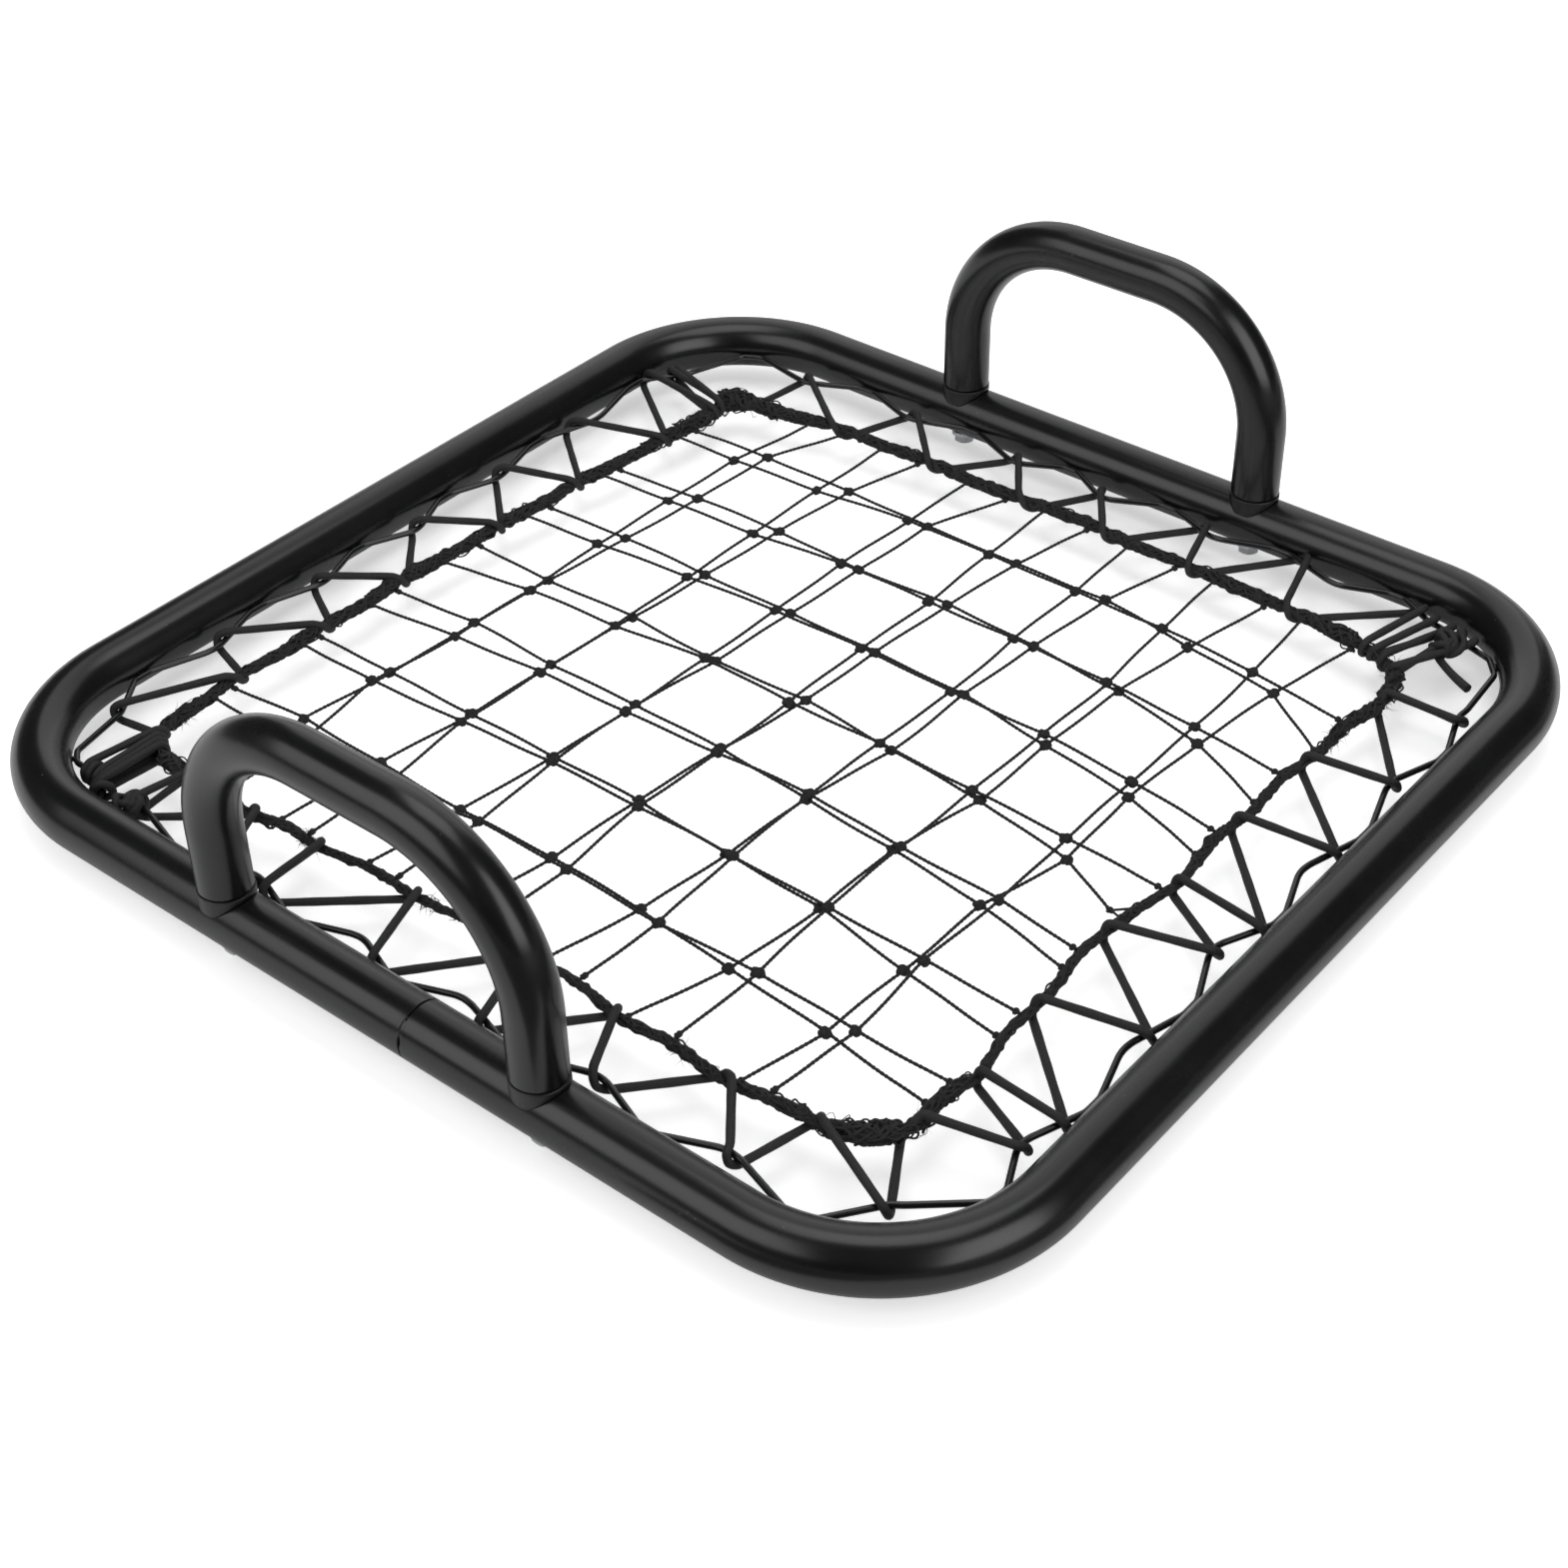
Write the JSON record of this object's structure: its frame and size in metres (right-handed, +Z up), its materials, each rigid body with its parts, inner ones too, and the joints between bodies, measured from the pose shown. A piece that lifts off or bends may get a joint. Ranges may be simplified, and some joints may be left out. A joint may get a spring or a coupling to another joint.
{
  "type": "football rebounder",
  "caption": "Hand-held rebounder: a round-cornered black tube frame with bent grip handles and a knotted net laced inside it with elastic cord.",
  "frame": {"origin": "centre of the square frame in plan, at the level of the undersides of the bolt heads that it stands on", "axes": "+X along the two sides that carry the handles, +Y from the front handle to the back handle, +Z up, square to the net, out of the handles' side"},
  "size_m": [0.583, 0.568, 0.1486],
  "materials": {
    "black_powder_coat": "semi-gloss black powder coat",
    "black_coated_wire": "glossy black coated wire",
    "bare_steel": "bare turned steel, out of sight",
    "zinc_plated_steel": "bright zinc plate",
    "black_plastic": "black moulded plastic, satin",
    "black_rope_fibre": "black twisted fibre rope, slightly fuzzy",
    "black_net_twine": "black twisted net twine",
    "black_elastic_sheath": "black braided elastic cord"
  },
  "bodies": {
    "frame": {"frame_tube": "black_powder_coat", "joint_sleeve": "bare_steel", "handle_front": "black_powder_coat", "handle_back": "black_powder_coat", "collar_front_left": "black_plastic", "collar_front_right": "black_plastic", "collar_back_left": "black_plastic", "collar_back_right": "black_plastic", "plug_front_left": "bare_steel", "plug_front_right": "bare_steel", "plug_back_left": "bare_steel", "plug_back_right": "bare_steel", "bolt_front_left": "zinc_plated_steel", "bolt_front_right": "zinc_plated_steel", "bolt_back_left": "zinc_plated_steel", "bolt_back_right": "zinc_plated_steel", "washer_front_left": "zinc_plated_steel", "washer_front_right": "zinc_plated_steel", "washer_back_left": "zinc_plated_steel", "washer_back_right": "zinc_plated_steel", "lacing_wire": "black_coated_wire", "rear_lacing_cord": "black_elastic_sheath", "front_lacing_cord": "black_elastic_sheath"},
    "net_bed": {"border_rope": "black_rope_fibre", "net_layer_upper": "black_net_twine", "net_layer_lower": "black_net_twine"}
  },
  "joints": [
    {"name": "bed_press", "type": "slide", "parent": "frame", "child": "net_bed", "axis": [0, 0, 1], "range_m": [-0.01, 0.04], "stiffness_N_per_m": 4000, "deforming": ["rear_lacing_cord", "front_lacing_cord"]}
  ]
}
